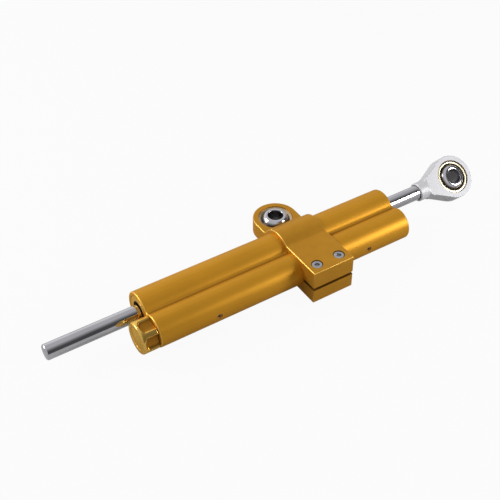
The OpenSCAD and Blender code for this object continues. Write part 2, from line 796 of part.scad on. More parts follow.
module clamp_block() {
    half_t = eye_t / 2;
    color(gold) difference() {
        union() {
            section_at(-clamp_w / 2) linear_extrude(clamp_w) translate([main_y, 0]) {
                circle(r = hump_r);
                translate([front_y - main_y, -half_h]) square([main_y - front_y, block_h]);
                translate([0, -half_t]) square([eye_reach, eye_t]);
                for (s = [0, 1]) mirror([0, s]) {
                    hump_fillet(half_h, block_fillet, -1);
                    hump_fillet(half_t, eye_fillet, 1);
                }
            }
            cylinder(d = clamp_w, h = eye_t, center = true);
        }
        section_at(-clamp_w / 2 - eps) linear_extrude(clamp_w + 2 * eps) translate([main_y, 0]) twin_outline(run_fit);
        translate([-clamp_w / 2 - eps, front_y - eps, -slot_drop - slot_w / 2])
            cube([clamp_w + 2 * eps, side_y - front_y, slot_w]);
        cylinder(d = race_d + 2 * run_fit, h = eye_t + 1, center = true);
        for (s = [-1, 1]) translate([s * screw_pitch / 2, screw_y, 0]) {
            translate([0, 0, head_seat]) cylinder(d = head_hole, h = half_h);
            translate([0, 0, head_seat - screw_len - 0.5]) cylinder(d = screw_d + 2 * seat_fit, h = screw_len + 1);
        }
    }
}

module clamp_screws() {
    color(silver) for (s = [-1, 1]) translate([s * screw_pitch / 2, screw_y, head_seat]) difference() {
        union() {
            cylinder(d = screw_head_d, h = screw_head_h);
            translate([0, 0, -screw_len]) cylinder(d = screw_d, h = screw_len);
        }
        translate([0, 0, screw_head_h / 2]) hex_prism(screw_hex, screw_head_h);
    }
}

module clamp_race() {
    color(steel) bearing_race();
}

module clamp_ball() {
    color(silver) bearing_ball();
}

barrel_body();
left_rod_guide();
right_rod_guide();
rod_bushes();
rod_seals();
rod_wipers();
guide_o_rings();
guide_circlips();
dust_caps();
port_plugs();
valve_housing();
valve_seat();
valve_o_ring();
spindle_o_ring();
detent_ball();
detent_spring();
adjuster_spindle();
adjuster_knob();
knob_grub_screw();
needle();
compensator_piston();
compensator_o_ring();
compensator_spring();
end_plug();
end_plug_o_ring();
end_plug_circlip();
piston_rod();
piston();
piston_ring();
piston_circlips();
rod_end_housing();
rod_end_race();
rod_end_ball();
clamp_block();
clamp_screws();
clamp_race();
clamp_ball();
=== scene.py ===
import math

import bmesh
import bpy
from mathutils import Matrix, Vector
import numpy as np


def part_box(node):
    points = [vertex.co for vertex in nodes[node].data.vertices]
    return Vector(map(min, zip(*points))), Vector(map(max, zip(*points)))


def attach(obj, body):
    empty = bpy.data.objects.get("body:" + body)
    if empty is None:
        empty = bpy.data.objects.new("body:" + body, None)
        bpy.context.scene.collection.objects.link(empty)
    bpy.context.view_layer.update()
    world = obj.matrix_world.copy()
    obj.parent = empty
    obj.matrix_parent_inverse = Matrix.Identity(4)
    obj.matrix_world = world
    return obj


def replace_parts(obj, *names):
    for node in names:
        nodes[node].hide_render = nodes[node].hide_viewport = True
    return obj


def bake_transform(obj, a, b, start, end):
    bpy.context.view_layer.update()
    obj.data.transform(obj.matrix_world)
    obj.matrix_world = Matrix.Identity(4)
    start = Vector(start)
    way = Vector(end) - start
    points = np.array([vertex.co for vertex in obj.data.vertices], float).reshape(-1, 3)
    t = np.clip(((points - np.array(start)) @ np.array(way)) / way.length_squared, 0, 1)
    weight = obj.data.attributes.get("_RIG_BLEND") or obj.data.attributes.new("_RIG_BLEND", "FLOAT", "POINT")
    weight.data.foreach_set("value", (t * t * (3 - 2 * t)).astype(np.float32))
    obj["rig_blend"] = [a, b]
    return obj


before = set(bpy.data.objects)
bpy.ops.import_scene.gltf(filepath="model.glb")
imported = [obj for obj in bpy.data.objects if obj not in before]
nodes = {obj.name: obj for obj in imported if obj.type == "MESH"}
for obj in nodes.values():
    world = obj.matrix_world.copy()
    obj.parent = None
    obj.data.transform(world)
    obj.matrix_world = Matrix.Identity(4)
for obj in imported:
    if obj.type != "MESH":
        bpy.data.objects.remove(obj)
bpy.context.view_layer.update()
mm = 0.001

# Twin-barrel body: one aluminium extrusion, a main barrel for the rod and a smaller one beside it for the valve.
# Its ends are turned, bored and grooved, its edges broken, and the whole is bead-blasted and anodised gold.
# Two oil ports are drilled through the small barrel's side.
main_y, side_y = -20 * mm, -35 * mm
main_r, side_r, waist_r = 10.5 * mm, 8.5 * mm, 2 * mm
left_end, right_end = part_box("barrel_body")[0].x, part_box("barrel_body")[1].x
barrel_pitch = main_y - side_y
waist_reach = ((main_r + waist_r) ** 2 - (side_r + waist_r) ** 2 + barrel_pitch ** 2) / (2 * barrel_pitch)
waist_z = math.sqrt((main_r + waist_r) ** 2 - waist_reach ** 2)
main_open = math.degrees(math.atan2(waist_z, waist_reach))
side_open = math.degrees(math.atan2(waist_z, barrel_pitch - waist_reach))
hollow = main_open + side_open - 180


def line(bm, vert, to):
    """Draws a straight edge from a vertex and gives its far end."""
    far = bmesh.ops.extrude_vert_indiv(bm, verts=[vert])["verts"][0]
    far.co = to
    return far


def swing(bm, vert, centre, axis, degrees, steps):
    """Draws an arc from a vertex round an axis and gives its far end."""
    return bmesh.ops.spin(bm, geom=[vert], cent=centre, axis=axis, angle=math.radians(degrees),
                          steps=steps)["geom_last"][0]


def loop_of(vert):
    """Every edge of the loop that a vertex lies on."""
    edges, verts = set(), [vert]
    while verts:
        for e in verts.pop().link_edges:
            if e not in edges:
                edges.add(e)
                verts += e.verts
    return list(edges)


def twin_loop(bm, x, grow):
    """Draws the outline of both barrels and the hollows between them, grown all round, at a station along X."""
    start = v = bm.verts.new((x, main_y - (main_r + grow) * math.cos(math.radians(main_open)),
                              -(main_r + grow) * math.sin(math.radians(main_open))))
    v = swing(bm, v, (x, main_y, 0), (1, 0, 0), 360 - 2 * main_open, 72)
    v = swing(bm, v, (x, main_y - waist_reach, waist_z), (1, 0, 0), hollow, 8)
    v = swing(bm, v, (x, side_y, 0), (1, 0, 0), 360 - 2 * side_open, 66)
    v = swing(bm, v, (x, main_y - waist_reach, -waist_z), (1, 0, 0), hollow * 7 / 8, 7)
    bm.edges.new((v, start))
    return loop_of(start)


def ring(bm, radius, place, steps=72):
    """Draws a circle round Z, put in place."""
    return loop_of(bmesh.ops.create_circle(bm, cap_ends=False, segments=steps, radius=radius, matrix=place)["verts"][0])


def skin(bm, loops):
    """Stretches a wall from each loop to the next."""
    for a, b in zip(loops, loops[1:]):
        bmesh.ops.bridge_loops(bm, edges=a + b)


def sink(bm, rim, move):
    """Pulls a wall out of a rim by a vector, closes its far end, and gives the faces there."""
    deep = bmesh.ops.extrude_edge_only(bm, edges=rim)["geom"]
    bmesh.ops.translate(bm, vec=move, verts=[g for g in deep if isinstance(g, bmesh.types.BMVert)])
    return bmesh.ops.contextual_create(bm, geom=[g for g in deep if isinstance(g, bmesh.types.BMEdge)])["faces"]


def along_x(x, y=0.0, z=0.0):
    """The place of a piece drawn round Z, so that its Z runs along X from that point."""
    return Matrix.Translation((x, y, z)) @ Matrix.Rotation(math.pi / 2, 4, "Y")


def new_mesh():
    """An empty mesh with a mark for worn edges and for painted shade in hollows."""
    bm = bmesh.new()
    bm.verts.layers.float.new("wear_and_shade")
    return bm


def join_flats(bm):
    """Makes one face of all the triangles in a flat."""
    bmesh.ops.recalc_face_normals(bm, faces=bm.faces)
    filled = [e for e in bm.edges if all(len(f.verts) == 3 for f in e.link_faces)]
    bmesh.ops.dissolve_limit(bm, angle_limit=math.radians(0.2), verts=[], edges=filled)
    bm.normal_update()


def soften(bm, width, steps=2, sharper=28, keep=lambda e: False):
    """Breaks every edge that is sharper than an angle, unless it is kept, and marks the broken edge as worn."""
    join_flats(bm)
    sharp = [e for e in bm.edges if len(e.link_faces) == 2 and e.calc_face_angle() > math.radians(sharper)
             and not keep(e)]
    made = bmesh.ops.bevel(bm, geom=sharp, offset=width, offset_type="OFFSET", segments=steps, profile=0.5,
                           affect="EDGES", clamp_overlap=False, material=-1)
    wear_and_shade, strips = bm.verts.layers.float["wear_and_shade"], set(made["faces"])
    for v in made["verts"]:
        v[wear_and_shade] = float(all(f in strips for f in v.link_faces))


class Wire:
    """One output socket of a material's nodes. Sums and products of wires add Math nodes."""

    def __init__(self, tree, socket=None):
        self.tree, self.socket = tree, socket

    def node(self, kind, settings, sockets, output=0):
        """Adds a node of any kind: its settings first, then the values or links of its sockets."""
        node = self.tree.nodes.new("ShaderNode" + kind)
        for key, value in settings.items():
            setattr(node, key, value)
        for key, value in sockets.items():
            if isinstance(value, Wire):
                self.tree.links.new(value.socket, node.inputs[key])
            else:
                node.inputs[key].default_value = value
        return Wire(self.tree, node.outputs[output])

    def math(self, operation, a, b):
        """Adds a Math node for two wires or numbers."""
        return self.node("Math", {"operation": operation}, {0: a, 1: b})

    def __add__(self, other):
        return self.math("ADD", self, other)

    def __sub__(self, other):
        return self.math("SUBTRACT", self, other)

    def __rsub__(self, other):
        return self.math("SUBTRACT", other, self)

    def __mul__(self, other):
        return self.math("MULTIPLY", self, other)

    __radd__ = __add__

    def noise(self, scale, detail=2.0):
        """Cloudy noise from 0 to 1 over these coordinates."""
        return self.node("TexNoise", {}, {"Vector": self, "Scale": scale, "Detail": detail})

    def stretched(self, scale):
        """These coordinates, scaled along each axis."""
        return self.node("Mapping", {}, {"Vector": self, "Scale": scale})

    def between(self, low, high):
        """0 below low and 1 above high."""
        return self.node("MapRange", {}, {"Value": self, "From Min": low, "From Max": high})

    def blend(self, low, high):
        """A colour that goes from one at 0 to another at 1."""
        return self.node("Mix", {"data_type": "RGBA"}, {0: self, 6: low, 7: high}, 2)


class Finish:
    """A material: its shader, and the Object coordinates that its patterns start from."""

    def __init__(self, name, **constants):
        self.material = bpy.data.materials.new(name)
        self.material.use_nodes = True
        self.tree = self.material.node_tree
        self.shader = self.tree.nodes["Principled BSDF"]
        self.place = Wire(self.tree).node("TexCoord", {}, {}, "Object")
        self.wear_and_shade = Wire(self.tree).node("Attribute", {"attribute_name": "wear_and_shade"}, {}, "Fac")
        for key, value in constants.items():
            self.shader.inputs[key.replace("_", " ")].default_value = value

    def feed(self, socket, wire):
        """Links a wire to a socket of the shader."""
        self.tree.links.new(wire.socket, self.shader.inputs[socket])

    def rough_up(self, height, depth):
        """A relief of that depth in metres."""
        self.feed("Normal", height.node("Bump", {}, {"Height": height, "Distance": depth, "Strength": 1.0}))


def anodised(name, dye, tool_lines, gloss=0.4, metal=0.5):
    """Bead-blasted aluminium under a dyed film: fine grain, tool lines, paler broken edges, and painted shade in
    hollows.

    The mark is 1 on a broken edge and -1 in a hollow."""
    finish = Finish(name, Metallic=metal, Specular_Tint=(1.0, 0.8, 0.42, 1.0))
    cloud = finish.place.noise(38.0, 3.0)
    lines = finish.place.stretched(tool_lines).noise(1.0, 3.0)
    grain = finish.place.noise(5200.0, 2.0)
    tone = cloud * 0.45 + lines * 0.35 + grain * 0.2
    deep, pale = [tuple(c * k for c in dye) + (1.0,) for k in (0.9, 1.1)]
    colour = tone.between(0.3, 0.7).blend(deep, pale)
    edge = (finish.wear_and_shade * finish.place.noise(420.0, 3.0)).between(0.1, 0.6)
    bare = tuple(0.4 * c + 0.6 * b for c, b in zip(dye, (1.0, 0.66, 0.18))) + (1.0,)
    # Painted shade: where the mark is below 0, the colour goes most of the way to a third of the dye.
    shade_colour = tuple(0.3 * c for c in dye) + (1.0,)
    painted_shade = (0.0 - finish.wear_and_shade).between(0.0, 1.0)
    finish.feed("Base Color", (painted_shade * 0.8).blend((edge * 0.8).blend(colour, bare), shade_colour))
    finish.feed("Roughness", gloss + cloud * 0.04 + grain * 0.06 - edge * 0.1)
    finish.rough_up(grain * 0.7 + lines * 0.3, 0.004 * mm)
    return finish.material


def piece(name, bm, body, slot, finishes, *stands_for, smooth=32):
    """A finished mesh as an object that stands for CAD nodes and rides on a body, if it has one."""
    bmesh.ops.recalc_face_normals(bm, faces=bm.faces)
    mesh = bpy.data.meshes.new(name)
    bm.to_mesh(mesh)
    bm.free()
    mesh.shade_smooth()
    mesh.set_sharp_from_angle(angle=math.radians(smooth))
    for finish in finishes:
        mesh.materials.append(finish)
    obj = bpy.data.objects.new(name, mesh)
    bpy.context.scene.collection.objects.link(obj)
    obj.modifiers.new("true_flats", "WEIGHTED_NORMAL").keep_sharp = True
    if body:
        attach(obj, body)
    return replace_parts(obj, *stands_for)


gold_dye = (0.61, 0.283, 0.018)
gold_drawn = anodised("gold_drawn", gold_dye, (9.0, 900.0, 900.0))
barrel = new_mesh()
end_round = 0.8 * mm
rounding = [(end_round * (1 - math.cos(math.radians(a))), end_round * (math.sin(math.radians(a)) - 1))
            for a in (0, 22.5, 45, 67.5, 90)]
ports, patch, port_r, port_deep = (-60.5 * mm, 29 * mm), 2.4 * mm, 1.5 * mm, 1.6 * mm
stations = [(left_end + d, g) for d, g in rounding]
stations += [(port + patch * k / 4, 0) for port in ports for k in range(-4, 5)]
stations += [(right_end - d, g) for d, g in reversed(rounding)]
outline = [twin_loop(barrel, x, g) for x, g in stations]
main_steps = [(0, 8.85), (0.35, 8.5), (4, 8.5), (4.1, 9), (4.9, 9), (5, 8.5)]
side_steps = [(0, 5.3), (0.3, 5), (4, 5), (4.1, 5.5), (4.9, 5.5), (5, 5)]
valve_steps = [(0, 6), (2, 6), (2.1, 5)]
main_bore = [ring(barrel, r * mm, along_x(left_end + d * mm, main_y)) for d, r in main_steps]
main_bore += [ring(barrel, r * mm, along_x(right_end - d * mm, main_y)) for d, r in reversed(main_steps)]
side_bore = [ring(barrel, r * mm, along_x(left_end + d * mm, side_y)) for d, r in valve_steps]
side_bore += [ring(barrel, r * mm, along_x(right_end - d * mm, side_y)) for d, r in reversed(side_steps)]
skin(barrel, outline)
skin(barrel, main_bore)
skin(barrel, side_bore)
for end in (0, -1):
    bmesh.ops.triangle_fill(barrel, use_beauty=True, edges=outline[end] + main_bore[end] + side_bore[end])
for port in ports:
    drilled = [f for f in barrel.faces if abs(f.calc_center_median().x - port) < patch
               and abs(f.calc_center_median().z) < patch and f.calc_center_median().y < side_y - 0.8 * side_r]
    bmesh.ops.delete(barrel, geom=drilled, context="FACES")
    rim = [e for e in barrel.edges if e.is_boundary]
    made = bmesh.ops.create_circle(barrel, cap_ends=False, segments=len(rim), radius=port_r,
                                   matrix=Matrix.Translation((port, 0, 0)) @ Matrix.Rotation(math.pi / 2, 4, "X"))
    hole = list({e for v in made["verts"] for e in v.link_edges})
    for v in made["verts"]:
        v.co.y = side_y - math.sqrt(side_r ** 2 - v.co.z ** 2)
    bmesh.ops.bridge_loops(barrel, edges=rim + hole)
    sink(barrel, hole, (0, port_deep, 0))
join_flats(barrel)
wear_and_shade = barrel.verts.layers.float["wear_and_shade"]
# Painted shade along both hollows, on the small barrel's flank where the big barrel shades it; the mark falls to -1 at
# its middle.
shade_y, shade_wide = main_y - waist_reach - 0.9 * mm, 1.8 * mm
for v in barrel.verts:
    inward = min(v.co.x - left_end, right_end - v.co.x)
    if inward < 0.9 * end_round:
        v[wear_and_shade] = float(inward > 0.1 * end_round)
    elif abs(v.co.z) > waist_z - waist_r - 0.1 * mm:
        v[wear_and_shade] = min(0.0, abs(v.co.y - shade_y) / shade_wide - 1)
piece("twin_barrel", barrel, "barrel", "gold", [gold_drawn], "barrel_body")

# Rod guides: two turned glands that plug the main barrel's ends, anodised gold, each held by a spring circlip.
# Each carries a bronze bush, a rubber seal, a wiper with its lip on the rod, and an O-ring in a groove.
guide_gold = anodised("guide_gold", (0.30, 0.13, 0.01), (900.0, 60.0, 60.0), 0.3)


def turned(name, colour, roughness, spread, lines=(2600.0, 90.0, 90.0), depth=0.003):
    """Bare turned metal: fine rings left by the tool, and a light film of oil."""
    finish = Finish(name, Metallic=1.0)
    rings = finish.place.stretched(lines).noise(1.0, 2.0)
    film = finish.place.noise(160.0, 3.0)
    dark, light = [tuple(c * k for c in colour) + (1.0,) for k in (0.82, 1.1)]
    finish.feed("Base Color", (rings * 0.5 + film * 0.5).between(0.3, 0.7).blend(dark, light))
    finish.feed("Roughness", roughness + film * spread + rings * 0.05 - finish.wear_and_shade * 0.05)
    finish.rough_up(rings, depth * mm)
    return finish.material


def moulded(name, colour, roughness):
    """Moulded rubber or plastic: matt, a little dusty, with a fine skin."""
    finish = Finish(name)
    skin_grain = finish.place.noise(2400.0, 3.0)
    dust = finish.place.noise(220.0, 4.0).between(0.45, 0.8)
    pale = tuple(c + 0.05 for c in colour) + (1.0,)
    finish.feed("Base Color", dust.blend(colour + (1.0,), pale))
    finish.feed("Roughness", roughness + dust * 0.15)
    finish.rough_up(skin_grain, 0.01 * mm)
    return finish.material


def wear(finish, *names):
    """Gives CAD nodes a finish."""
    for name in names:
        nodes[name].material_slots[0].material = finish


spring_steel = turned("spring_steel", (0.22, 0.22, 0.24), 0.24, 0.12)
liner_bronze = turned("liner_bronze", (0.80, 0.62, 0.30), 0.24, 0.08)
seal_rubber = moulded("seal_rubber", (0.018, 0.018, 0.02), 0.5)
wear(guide_gold, "left_rod_guide", "right_rod_guide")
wear(liner_bronze, "rod_bushes")
wear(seal_rubber, "rod_seals", "rod_wipers", "guide_o_rings")
wear(spring_steel, "guide_circlips")

# Port plugs: two small steel grub screws with hexagon sockets that close the drilled oil ports.
# They are screwed in until they lie just under the barrel's surface, and are stained brown by the sealing compound.
fine_marks = (900.0, 900.0, 900.0)
screw_steel = turned("screw_steel", (0.55, 0.55, 0.57), 0.2, 0.1, fine_marks)


def socket_screw(bm, across, socket, steps, place):
    """A screw round Z with its top at 0: a hexagon socket, and (radius, depth) steps down its outside."""
    others = set(bm.verts)
    flats = ring(bm, across / 2 / math.cos(math.radians(30)), Matrix(), 6)
    rims = [ring(bm, r, Matrix.Translation((0, 0, -d)), 48) for r, d in steps]
    bmesh.ops.bridge_loops(bm, edges=flats + rims[0])
    skin(bm, rims)
    bmesh.ops.contextual_create(bm, geom=rims[-1])
    for v in bmesh.ops.poke(bm, faces=sink(bm, flats, (0, 0, -socket)))["verts"]:
        v.co.z -= across / 4
    bmesh.ops.transform(bm, matrix=place, verts=[v for v in bm.verts if v not in others])


plugs, plug_sunk = new_mesh(), 0.4 * mm
plug_steps = [(r * mm, d * mm) for r, d in ((1.2, 0), (1.48, 0.28), (1.48, 2.6))]
for port in ports:
    socket_screw(plugs, 1.5 * mm, 1.2 * mm, plug_steps,
                 Matrix.Translation((port, side_y - side_r + plug_sunk, 0)) @ Matrix.Rotation(math.pi / 2, 4, "X"))
plug_steel = turned("plug_steel", (0.60, 0.43, 0.22), 0.24, 0.1, fine_marks)
piece("port_screws", plugs, "barrel", "screw_steel", [plug_steel], "port_plugs")

# Piston rod: one hard-chromed ground steel rod that runs right through the main barrel.
# It has a rounded tip, grooves for the piston's circlips, and a stud that screws into the rod end.
rod_r, tip, tip_round, shoulder = 4 * mm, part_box("piston_rod")[0].x, 0.95 * mm, 81.2 * mm
clip_grooves, groove_r, groove_wide = (-35.5 * mm, -24.5 * mm), 3.5 * mm, 1 * mm
stud_r, stud_end = 3 * mm, 91.2 * mm
near, weld = 0.01 * mm, 0.001 * mm


def trace(bm, points):
    """Draws a chain of straight edges through (radius, height) points, in the plane y = 0."""
    v = bm.verts.new((points[0][0], 0, points[0][1]))
    for radius, height in points[1:]:
        v = line(bm, v, (radius, 0, height))
    return v


def revolve(bm, place, steps=96):
    """Turns everything drawn so far round Z and puts it in place."""
    bmesh.ops.spin(bm, geom=list(bm.verts) + list(bm.edges), cent=(0, 0, 0), axis=(0, 0, 1), angle=2 * math.pi,
                   steps=steps, use_merge=True)
    bmesh.ops.remove_doubles(bm, verts=bm.verts, dist=weld)
    bmesh.ops.transform(bm, matrix=place, verts=bm.verts)
    bmesh.ops.recalc_face_normals(bm, faces=bm.faces)


chrome = Finish("hard_chrome", Metallic=1.0)
chrome_wipe = chrome.place.stretched((14.0, 700.0, 700.0)).noise(1.0, 4.0)
chrome_haze = chrome.place.noise(90.0, 3.0)
chrome.feed("Base Color", (chrome_wipe * 0.4 + chrome_haze * 0.6).between(0.3, 0.7)
            .blend((0.58, 0.58, 0.61, 1.0), (0.66, 0.66, 0.68, 1.0)))
chrome.feed("Roughness", 0.05 + chrome_wipe * 0.05 + chrome_haze * 0.04)
chrome.rough_up(chrome_wipe, 0.0006 * mm)
rod = new_mesh()
rod_steps = [(0, tip), (rod_r, tip)]
for x in clip_grooves:
    rod_steps += [(rod_r, x), (groove_r, x), (groove_r, x + groove_wide), (rod_r, x + groove_wide)]
trace(rod, rod_steps + [(rod_r, shoulder), (stud_r, shoulder), (stud_r, stud_end), (0, stud_end)])
revolve(rod, along_x(0, main_y))
rod.normal_update()
rim = [e for e in rod.edges if all(v.co.x < tip + near and (v.co.yz - Vector((main_y, 0))).length > 0.9 * rod_r
                                   for v in e.verts)]
bmesh.ops.bevel(rod, geom=rim, offset=tip_round, offset_type="OFFSET", segments=5, profile=0.5, affect="EDGES",
                clamp_overlap=True, material=-1)
piece("through_rod", rod, "rod", "rod_chrome", [chrome.material], "piston_rod")

# Dust caps: two thin turned cups, pressed into the main barrel's ends over the circlips, with a hole for the rod.
# They are anodised gold and brighter than the body, because they are polished and not blasted.
cap_lo, cap_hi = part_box("dust_caps")
cap_r, cap_hole, cap_wall = (cap_hi.y - cap_lo.y) / 2, 5.5 * mm, 1.2 * mm
cap_face, cap_back = cap_lo.x, left_end + 4 * mm
gold_turned = anodised("gold_turned", (0.88, 0.54, 0.12), (1400.0, 40.0, 40.0), 0.15, 0.85)
caps = new_mesh()
start = caps.verts.new((cap_hole, 0, cap_face))
v = start
for radius, x in ((cap_r, cap_face), (cap_r, cap_back), (cap_r - cap_wall, cap_back),
                  (cap_r - cap_wall, cap_face + cap_wall), (cap_hole, cap_face + cap_wall)):
    v = line(caps, v, (radius, 0, x))
caps.edges.new((v, start))
revolve(caps, along_x(0, main_y))
soften(caps, 0.3 * mm, 3)
middle = Matrix.Translation((-(left_end + right_end) / 2, 0, 0))
bmesh.ops.mirror(caps, geom=list(caps.verts) + list(caps.edges) + list(caps.faces), matrix=middle,
                 merge_dist=-1.0, axis="X")
# The rounded edge and wall of the rod's hole are painted dark brown as shade.
for f in caps.faces:
    f.material_index = int(all((v.co.yz - Vector((main_y, 0))).length < cap_hole + 0.32 * mm for v in f.verts))
# A dark brown that paints the shade round holes.
brown_shade = moulded("brown_shade", (0.075, 0.034, 0.012), 0.3)
piece("rod_dust_caps", caps, "barrel", "gold", [gold_turned, brown_shade], "dust_caps")

# Piston: a turned steel disc on the rod between two circlips, with a plastic ring that seals it in the bore.
# It divides the oil in the main barrel and isn't seen from outside.
turned_steel = turned("turned_steel", (0.56, 0.56, 0.58), 0.22, 0.1)
ring_plastic = moulded("ring_plastic", (0.05, 0.045, 0.035), 0.45)
wear(turned_steel, "piston")
wear(spring_steel, "piston_circlips")
wear(ring_plastic, "piston_ring")

# Valve and oil reserve: brass housing, steel seat and needle, spindle, click ball and spring in the small barrel's
# left half; a floating piston with its spring behind a plug and a circlip in the right half.
valve_brass = turned("valve_brass", (0.72, 0.52, 0.20), 0.25, 0.1)
wear(valve_brass, "valve_housing")
wear(turned_steel, "valve_seat", "adjuster_spindle", "needle", "compensator_piston")
wear(seal_rubber, "valve_o_ring", "spindle_o_ring", "compensator_o_ring", "end_plug_o_ring")
wear(spring_steel, "detent_ball", "detent_spring", "end_plug_circlip")
wear(guide_gold, "end_plug")

# Reserve spring: a coil of round spring steel wire between the floating piston's cup and the end plug.
# It shortens as the oil grows warm and pushes the piston towards the plug.
spring_lo, spring_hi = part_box("compensator_spring")
wire_r, coil_turns, coil_steps = 0.45 * mm, 5, 24
coil_r = (spring_hi.z - spring_lo.z) / 2 - wire_r
coil_rise = (spring_hi.x - spring_lo.x - 2 * wire_r) / (coil_turns * coil_steps)
spring = new_mesh()
bmesh.ops.create_circle(spring, cap_ends=False, segments=12, radius=wire_r,
                        matrix=Matrix.Translation((coil_r, 0, wire_r)) @ Matrix.Rotation(math.pi / 2, 4, "X"))
first = list(spring.edges)
last = bmesh.ops.spin(spring, geom=list(spring.verts) + first, cent=(0, 0, 0), axis=(0, 0, 1), dvec=(0, 0, coil_rise),
                      angle=2 * math.pi * coil_turns, steps=coil_turns * coil_steps)["geom_last"]
for end in (first, [g for g in last if isinstance(g, bmesh.types.BMEdge)]):
    bmesh.ops.contextual_create(spring, geom=end)
bmesh.ops.transform(spring, matrix=along_x(spring_lo.x, side_y), verts=spring.verts)
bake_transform(piece("reserve_spring", spring, None, "spring_steel", [spring_steel], "compensator_spring"),
         "compensator", "barrel", start=(spring_lo.x, side_y, 0), end=(spring_hi.x, side_y, 0))

# Adjuster knob: turned from aluminium, with a dished face and five flutes milled in from the back up to a rim.
# It is anodised gold, with painted shade in the flutes, and held on the valve spindle by a small grub screw.
knob_r, knob_len, flutes, first_flute, nose_rings = 8.25 * mm, 8.7 * mm, 5, -10, 14
flute_r, flute_depth, flute_end, flute_nose, flute_wall = 7 * mm, 2 * mm, 7.3 * mm, 2.4 * mm, 0.9 * mm
flute_out = knob_r + flute_r - flute_depth
flute_half = math.degrees(math.acos((knob_r ** 2 + flute_out ** 2 - flute_r ** 2) / (2 * knob_r * flute_out)))
knob_back, knob_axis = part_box("adjuster_knob")[1].x, side_y
knob = new_mesh()
trace(knob, [(0, 0), (7.95 * mm, 0), (knob_r, 0.3 * mm)]
      + [(knob_r, flute_end - (flute_nose + flute_wall) * (1 - k / nose_rings)) for k in range(nose_rings + 1)]
      + [(knob_r, 7.75 * mm), (8.1 * mm, 8.3 * mm), (7.75 * mm, 8.6 * mm), (7.4 * mm, knob_len), (6.35 * mm, knob_len),
         (6.05 * mm, 8.55 * mm), (5.75 * mm, 8.1 * mm), (0, 8.1 * mm)])
profile = list(knob.verts) + list(knob.edges)
for _ in range(flutes):
    for degrees, steps in ((2 * flute_half, 16), (360 / flutes - 2 * flute_half, 8)):
        profile = bmesh.ops.spin(knob, geom=profile, cent=(0, 0, 0), axis=(0, 0, 1), angle=math.radians(degrees),
                                 steps=steps)["geom_last"]
bmesh.ops.remove_doubles(knob, verts=knob.verts, dist=weld)
for v in knob.verts:
    radius = v.co.xy.length
    off = math.radians((math.degrees(math.atan2(v.co.y, v.co.x)) % (360 / flutes)) - flute_half)
    if radius > 0.9 * knob_r and v.co.z < flute_end and abs(off) < math.radians(flute_half):
        floor_r = flute_out * math.cos(off) - math.sqrt(flute_r ** 2 - (flute_out * math.sin(off)) ** 2)
        nose = flute_nose * (1 - math.sqrt(1 - (off / math.radians(flute_half)) ** 2))
        fade = math.sqrt(max(0.0, 1 - min(1.0, max(0.0, 1 + (v.co.z + nose - flute_end) / flute_wall)) ** 2))
        v.co.xy *= min(radius, knob_r - (knob_r - floor_r) * fade) / radius
# The flutes take a darker gold, which paints their shade.
for f in knob.faces:
    f.material_index = int(0 < f.calc_center_median().z < flute_end
                           and all(v.co.xy.length < knob_r - 0.15 * mm for v in f.verts))
bmesh.ops.transform(knob, matrix=Matrix.Translation((knob_back, knob_axis, 0)) @ Matrix.Rotation(-math.pi / 2, 4, "Y")
                    @ Matrix.Rotation(math.radians(first_flute - flute_half), 4, "Z"), verts=knob.verts)
bmesh.ops.recalc_face_normals(knob, faces=knob.faces)
soften(knob, 0.12 * mm, 2, 34)
mill_marks = (240.0, 240.0, 240.0)
gold_flute_shade = anodised("gold_flute_shade", (0.40, 0.17, 0.015), mill_marks, 0.2, 0.8)
piece("click_knob", knob, "knob", "gold", [gold_turned, gold_flute_shade], "adjuster_knob")
wear(screw_steel, "knob_grub_screw")

# Clamp: one milled aluminium block round both barrels, split by a slot in front and with a flat eye behind.
# Its faces blend into the round hump over the main barrel; it is bead-blasted and anodised gold like the body.
clamp_x, hump_r, half_h, front_y = 12 * mm, 12.4 * mm, 9.75 * mm, -52.4 * mm
top_round, eye_round, plate_h, bore_fit = 4 * mm, 3 * mm, 4.5 * mm, 0.03 * mm
slot_top, slot_floor, eye_seat = 0.1 * mm, -1.7 * mm, 9.03 * mm
screw_x, screw_y, well_r, well_deep = 6.6 * mm, -46.9 * mm, 3 * mm, 3.25 * mm
top_reach = math.sqrt((hump_r + top_round) ** 2 - (half_h + top_round) ** 2)
eye_reach = math.sqrt((hump_r + eye_round) ** 2 - (plate_h + eye_round) ** 2)
top_turn = math.degrees(math.atan2(top_reach, half_h + top_round))
eye_turn = math.degrees(math.atan2(eye_reach, plate_h + eye_round))
bore_r = side_r + bore_fit
gold_milled = anodised("gold_milled", (0.57, 0.265, 0.022), mill_marks, 0.34, 0.6)
clamp = new_mesh()
across = (1, 0, 0)
start = v = clamp.verts.new((-clamp_x, front_y, slot_top))
v = line(clamp, v, (-clamp_x, front_y, half_h))
v = line(clamp, v, (-clamp_x, main_y - top_reach, half_h))
v = swing(clamp, v, (-clamp_x, main_y - top_reach, half_h + top_round), across, top_turn, 10)
v = swing(clamp, v, (-clamp_x, main_y, 0), across, -top_turn - eye_turn, 36)
v = swing(clamp, v, (-clamp_x, main_y + eye_reach, plate_h + eye_round), across, eye_turn, 12)
v = line(clamp, v, (-clamp_x, 0, plate_h))
v = line(clamp, v, (-clamp_x, 0, -plate_h))
v = line(clamp, v, (-clamp_x, main_y + eye_reach, -plate_h))
v = swing(clamp, v, (-clamp_x, main_y + eye_reach, -plate_h - eye_round), across, eye_turn, 12)
v = swing(clamp, v, (-clamp_x, main_y, 0), across, -top_turn - eye_turn, 36)
v = swing(clamp, v, (-clamp_x, main_y - top_reach, -half_h - top_round), across, top_turn, 10)
v = line(clamp, v, (-clamp_x, front_y, -half_h))
v = line(clamp, v, (-clamp_x, front_y, slot_floor))
v = line(clamp, v, (-clamp_x, side_y - math.sqrt(bore_r ** 2 - slot_floor ** 2), slot_floor))
